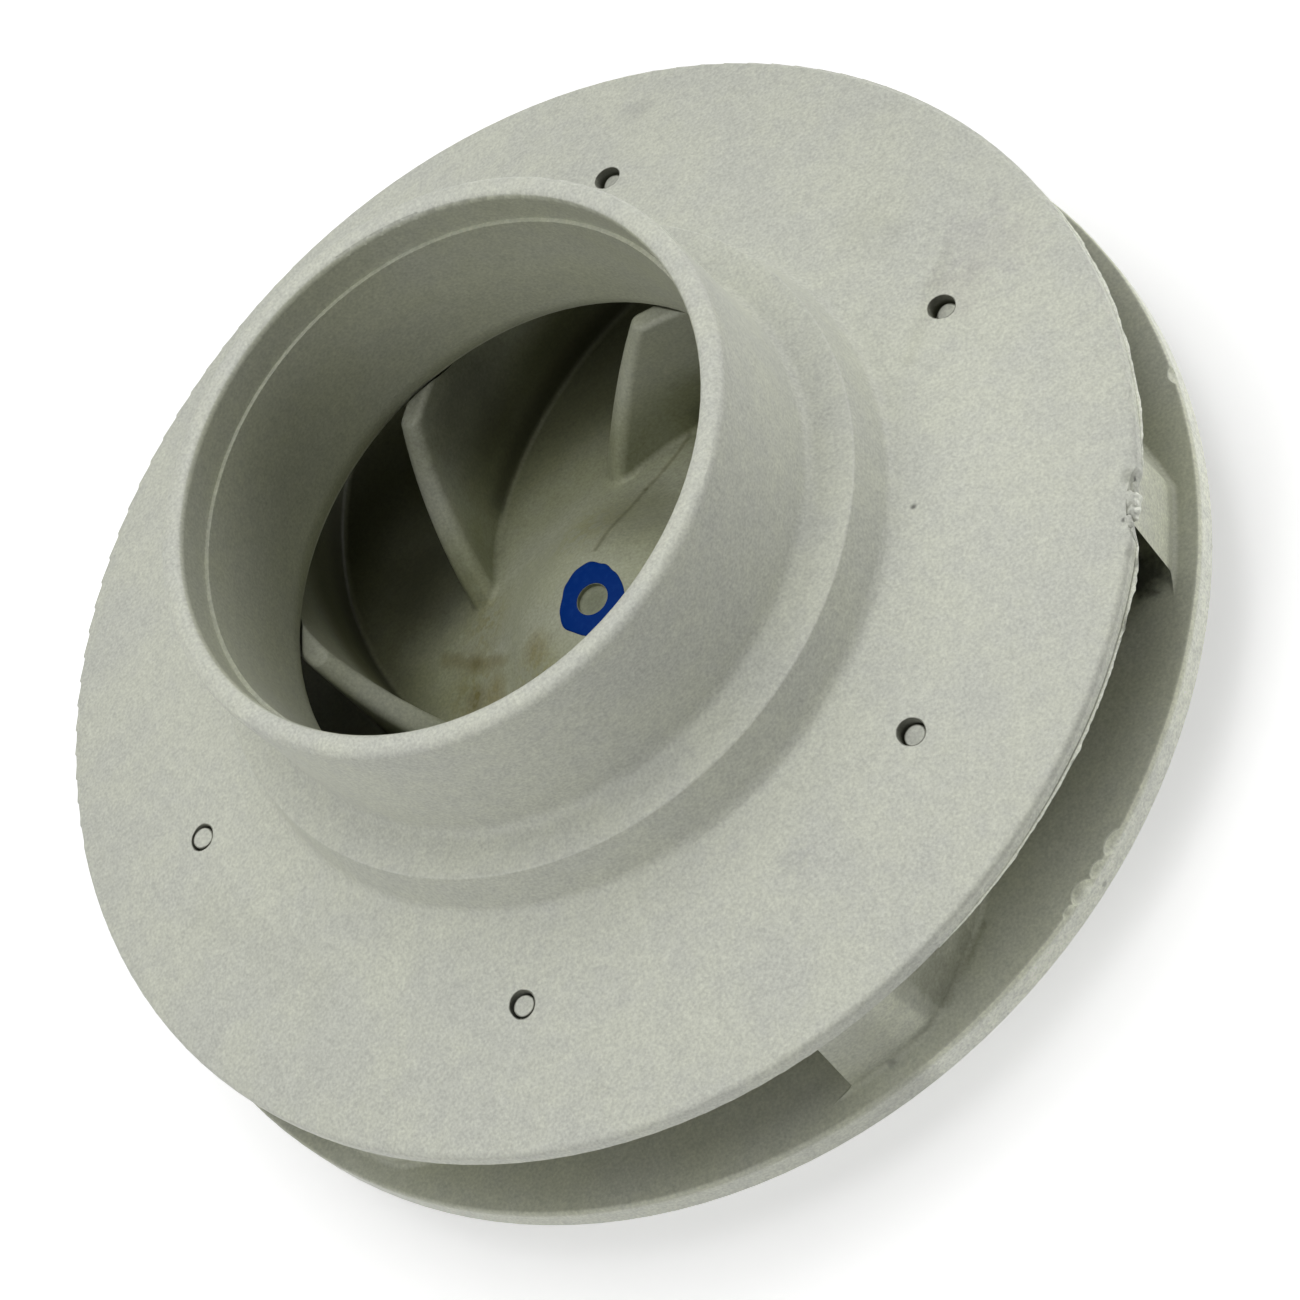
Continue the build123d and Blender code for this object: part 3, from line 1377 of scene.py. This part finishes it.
@dataclass
class TipFlash:
    """Lumps of plastic squeezed out between one vane tip and the bitten rim.

    Attributes:
        lumps: The lumps, from one end of the bite to the other.
        roughness: How uneven their skin is, as a share of their size.
        bumps: Bumps of their skin across half a lump.
        apart: Distance between the noise of one lump and the next.
    """

    lumps: tuple[Lump, ...] = (
        Lump(64.1, -28.6, 27.0, (0.7, 0.9, 0.8)),
        Lump(64.35, -30.2, 27.5, (0.95, 1.1, 1.0)),
        Lump(64.45, -31.3, 27.4, (0.8, 0.9, 0.9)),
        Lump(64.2, -32.6, 27.9, (0.6, 0.8, 0.6)),
    )
    roughness: float = 0.35
    bumps: float = 1.7
    apart: float = 5.0

    def build(self, material: bpy.types.Material) -> bpy.types.Object:
        """Make the lumps as one piece.

        Args:
            material: Their finish.

        Returns:
            The piece.
        """
        form = bmesh.new()
        for index, lump in enumerate(self.lumps):
            ball = bmesh.ops.create_icosphere(form, subdivisions=4, radius=1.0)["verts"]
            for corner in ball:
                place = corner.co * self.bumps + Vector((index * self.apart, 0, 0))
                bump = noise.noise(place)
                corner.co *= 1.0 + self.roughness * bump
            turn = Matrix.Rotation(math.radians(lump.angle), 3, "Z")
            bmesh.ops.scale(form, verts=ball, vec=Vector(lump.size) * MM)
            bmesh.ops.rotate(form, verts=ball, cent=(0, 0, 0), matrix=turn)
            bmesh.ops.translate(form, verts=ball, vec=polar(lump.radius, lump.angle, lump.height))
        piece = smooth_piece(form, "tip_flash")
        dress(piece, material)
        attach(piece, "root")
        return piece


@dataclass(frozen=True)
class Lamp:
    """A soft square lamp that points at the object.

    Attributes:
        name: Its name.
        azimuth: Its direction from the object, in degrees from the first pin.
        elevation: Its angle over the floor, in degrees.
        watts: Its power.
        distance: Its distance, in metres.
        span: Its width, in metres.
        aim: Height over the floor that it points at, in millimetres.
    """

    name: str
    azimuth: float
    elevation: float
    watts: float
    distance: float = 1.0
    span: float = 0.5
    aim: float = 20.0

    def hang(self) -> None:
        """Hang the lamp in the scene."""
        lamp = bpy.data.lights.new(self.name, "AREA")
        lamp.size = self.span
        lamp.energy = self.watts
        holder = bpy.data.objects.new(self.name, lamp)
        bpy.context.scene.collection.objects.link(holder)
        rise = math.radians(self.elevation)
        across, height = (self.distance * share / MM for share in (math.cos(rise), math.sin(rise)))
        holder.location = polar(across, self.azimuth, height)
        aim = Vector((0, 0, self.aim * MM)) - holder.location
        holder.rotation_euler = aim.to_track_quat("-Z", "Y").to_euler()


@dataclass
class Studio:
    """Pale floor, soft light from above and the photograph's camera.

    Attributes:
        camera_place: The camera's place, in millimetres.
        camera_right: Direction of the picture's right side.
        camera_up: Direction of the picture's top.
        lens: Focal length on the camera's sensor, in millimetres.
        sensor: Width of the sensor, in millimetres.
        nearest: Nearest distance that the camera sees, in metres.
        floor_span: Width of the floor, in metres.
        floor_colour: The floor's colour.
        floor_glow: Light of its own that the camera sees on the floor.
        room_glow: Even light of the room on the object.
        lamps: The lamps.
    """

    camera_place: Place = (111.27, -367.51, 480.51)
    camera_right: Place = (0.80054, -0.36394, -0.47612)
    camera_up: Place = (0.57041, 0.70641, 0.41909)
    lens: float = 153.086
    sensor: float = 36.0
    nearest: float = 0.01
    floor_span: float = 1.6
    floor_colour: Colour = (0.90, 0.90, 0.90)
    floor_glow: float = 0.45
    room_glow: float = 0.01
    lamps: tuple[Lamp, ...] = (
        Lamp("top_lamp", 0.0, 88.0, 1.6, distance=0.6),
        Lamp("back_lamp", 88.0, 67.0, 1.1, distance=0.65),
        Lamp("front_lamp", 222.0, 30.0, 3.2),
        Lamp("side_lamp", 14.0, 12.0, 4.4),
    )

    def build(self) -> None:
        """Set the whole studio round the object."""
        self.lay_floor()
        for lamp in self.lamps:
            lamp.hang()
        self.light_room()
        self.place_camera()
        bpy.context.scene.view_settings.view_transform = "Standard"

    def lay_floor(self) -> None:
        """Lay a plain floor that looks white and keeps the object's shadow."""
        form = bmesh.new()
        bmesh.ops.create_grid(form, x_segments=1, y_segments=1, size=self.floor_span / 2)
        floor = place_in_scene(form, "floor")
        sheet = FinishSheet("floor_paper")
        paper = sheet.add("ShaderNodeBsdfDiffuse", inputs={"Color": (*self.floor_colour, 1.0)})
        glow = sheet.add("ShaderNodeEmission", inputs={"Strength": self.floor_glow})
        both = sheet.add("ShaderNodeAddShader", inputs={0: paper.outputs[0], 1: glow.outputs[0]})
        inputs = {0: sheet.seen(), 1: paper.outputs[0], 2: both.outputs[0]}
        dress(floor, sheet.finish(sheet.add("ShaderNodeMixShader", inputs=inputs)))

    def light_room(self) -> None:
        """Give the room a faint even glow, white where the camera sees it."""
        world = bpy.data.worlds.new("studio_room")
        bpy.context.scene.world = world
        world.use_nodes = True
        sheet = NodeSheet(world.node_tree)
        glow = sheet.add("ShaderNodeBackground", inputs={"Strength": self.room_glow})
        white = sheet.add("ShaderNodeBackground", inputs={"Strength": 1.0})
        for light in (glow, white):
            light.inputs["Color"].default_value = (1.0, 1.0, 1.0, 1.0)
        inputs = {0: sheet.seen(), 1: glow.outputs[0], 2: white.outputs[0]}
        mixed = sheet.add("ShaderNodeMixShader", inputs=inputs)
        sheet.add("ShaderNodeOutputWorld", inputs={"Surface": mixed.outputs[0]})

    def place_camera(self) -> None:
        """Put the camera where the photograph was taken from."""
        camera = bpy.data.cameras.new("camera")
        camera.lens = self.lens
        camera.sensor_width = self.sensor
        camera.clip_start = self.nearest
        holder = bpy.data.objects.new("camera", camera)
        bpy.context.scene.collection.objects.link(holder)
        right, up = Vector(self.camera_right), Vector(self.camera_up)
        turn = Matrix((right, up, right.cross(up))).transposed().to_4x4()
        holder.matrix_world = Matrix.Translation(Vector(self.camera_place) * MM) @ turn
        bpy.context.scene.camera = holder


# Marks on the shroud: stains, specks, the dark line over the flash, and painted shade.
SHROUD_MARKS: tuple[Mark, ...] = (
    Spot((51.6, 1.1, 30.9), 5.0, (0.93, 0.92, 0.93)),
    Spot((57.0, 5.0, 29.9), 7.5, (0.94, 0.93, 0.95)),
    Spot((47.1, 14.3, 31.4), 6.0, (0.95, 0.95, 0.94)),
    Spot((8.0, -48.1, 31.5), 2.6, (0.90, 0.90, 0.92)),
    Spot((-21.5, -55.3, 29.4), 2.0, (0.92, 0.92, 0.92)),
    Spot((31.2, 50.1, 29.4), 2.4, (0.92, 0.92, 0.92)),
    Spot((36.6, -20.7, 32.8), 0.5, (0.25, 0.25, 0.25)),
    # Painted shade in the dent of the bitten rim, with a dark edge.
    Spot((56.8, -30.3, 28.0), 1.4, (0.68, 0.68, 0.66)),
    Spot((57.0, -30.2, 27.4), 0.45, (0.3, 0.3, 0.3)),
    Spot((54.7, -33.9, 27.7), 0.5, (0.3, 0.3, 0.3)),
    Spot((54.0, -34.4, 28.4), 0.4, (0.4, 0.4, 0.4)),
    Spot((52.8, -37.7, 27.6), 1.2, (0.78, 0.78, 0.77)),
    RimLine(-47.0, 13.0, 26.62, 0.14, (0.45, 0.45, 0.44)),
    Streak((44.0, -4.0), (53.0, 6.5), 1.6, (0.95, 0.95, 0.93)),
    # Painted shade over the left side of the face.
    Streak((-52.0, -8.0), (-44.0, -26.0), 5.0, (0.96, 0.96, 0.95)),
)
# Marks on the plate: the weld line, stains on the nose, specks, painted shade and a painted shadow.
PLATE_MARKS: tuple[Mark, ...] = (
    Streak((2.6, 6.2), (9.4, 13.6), 0.5, (0.66, 0.65, 0.59), 0.4),
    Streak((9.4, 13.6), (16.3, 18.5), 0.45, (0.70, 0.69, 0.63), 0.4),
    Streak((-20.4, 12.6), (-17.0, 8.4), 1.7, (0.76, 0.72, 0.62), 0.5),
    Streak((-17.0, 8.4), (-13.2, 4.4), 1.4, (0.80, 0.76, 0.66), 0.5),
    Spot((-8.6, 0.6, 23.7), 3.2, (0.80, 0.75, 0.62), 0.3, 0.8),
    Spot((-18.8, 4.4, 17.6), 2.4, (0.72, 0.67, 0.56), 0.2, 0.8),
    Spot((-16.0, 2.5, 19.3), 3.0, (0.86, 0.80, 0.66), 0.3, 0.8),
    Spot((-18.5, 5.0, 17.8), 7.5, (0.74, 0.69, 0.50), 0.75),
    Spot((-14.0, 12.0, 19.0), 6.5, (0.80, 0.76, 0.58), 0.75),
    Spot((-10.0, -2.0, 22.5), 6.5, (0.84, 0.80, 0.62), 0.8),
    Spot((2.0, 12.0, 22.0), 8.0, (0.86, 0.84, 0.70), 0.85),
    Spot((3.1, -63.0, 14.0), 0.8, (0.6, 0.6, 0.6)),
    # Painted shade along the corner of a vane and the flow face.
    Streak((10.7, -61.0), (18.5, -55.8), 1.0, (0.72, 0.72, 0.68)),
    # Painted shadow under the first vane's tip.
    Spot((50.9, -31.4, 14.1), 3.6, (0.24, 0.24, 0.23)),
    Spot((0.0, 0.0, 25.0), 3.6, (0.46, 0.48, 0.43), fray=0.5),
    # Painted shade in the eye: on the upper vanes, deep in a passage and on the nose's side.
    Spot((-2.5, 30.0, 27.5), 12.0, (0.42, 0.42, 0.40), fray=0.12),
    Spot((-17.0, 22.0, 15.9), 10.5, (0.40, 0.40, 0.39), fray=0.15, lowest=12.0),
    Spot((8.5, 9.5, 21.5), 10.0, (0.66, 0.66, 0.62), fray=0.25),
    # Painted shade in the corners at the vanes' roots.
    RootCornerShade((0.45, 0.45, 0.43)),
    Spot((30.8, -58.1, 11.2), 0.6, (0.6, 0.6, 0.6)),
)

PIN_COUNT = 6
PIN_CIRCLE = 49.5
PIN_PLACES: tuple[tuple[float, float], ...] = tuple(
    (PIN_CIRCLE * math.cos(turn), PIN_CIRCLE * math.sin(turn))
    for turn in (math.tau * pin / PIN_COUNT for pin in range(PIN_COUNT))
)

LOW_FLASH: tuple[tuple[float, float, float, float], ...] = (
    (-76.0, 64.98, 26.35, 0.05),
    (-70.0, 64.98, 26.35, 0.30),
    (-48.0, 64.98, 26.35, 0.42),
    (-37.0, 64.98, 26.40, 0.58),
    (-34.6, 64.90, 26.70, 0.60),
    (-33.6, 64.60, 27.60, 0.55),
    (-33.0, 64.40, 28.05, 0.15),
)
HIGH_FLASH: tuple[tuple[float, float, float, float], ...] = (
    (-28.0, 64.30, 26.60, 0.10),
    (-26.0, 64.80, 26.50, 0.35),
    (-20.0, 64.98, 26.45, 0.42),
    (0.0, 64.98, 26.40, 0.32),
    (9.0, 64.98, 26.35, 0.04),
)


def main() -> None:
    """Build the dressed impeller and its studio."""
    logging.basicConfig(level=logging.INFO, format="%(message)s")
    # Painted shade in the gaps round the pins.
    shroud_gaps = tuple(PinGapShade(place, inner=1.3, outer=1.56) for place in PIN_PLACES)
    plate_gaps = tuple(PinGapShade(place, inner=1.12, outer=1.4) for place in PIN_PLACES)
    shroud = ShroudPlastic("shroud_plastic", SHROUD_MARKS + shroud_gaps).material()
    plate = PlatePlastic("plate_plastic", PLATE_MARKS + plate_gaps).material()
    pieces = [
        CastPiece("front_shroud", "shroud_plastic").build(shroud),
        CastPiece("vaned_backplate", "backplate_plastic").build(plate),
        TappedInsert("threaded_insert", "insert_brass").build(TurnedBrass().material()),
        PaintRing().build(BrushedPaint().material()),
        RimFlash("rim_flash_low", LOW_FLASH, seed=1.0).build(shroud),
        RimFlash("rim_flash_high", HIGH_FLASH, seed=2.0).build(shroud),
        TipFlash().build(shroud),
    ]
    for piece in pieces:
        log.info("built %s with %d faces", piece.name, len(piece.data.polygons))
    Studio().build()


if __name__ == "__main__":
    main()
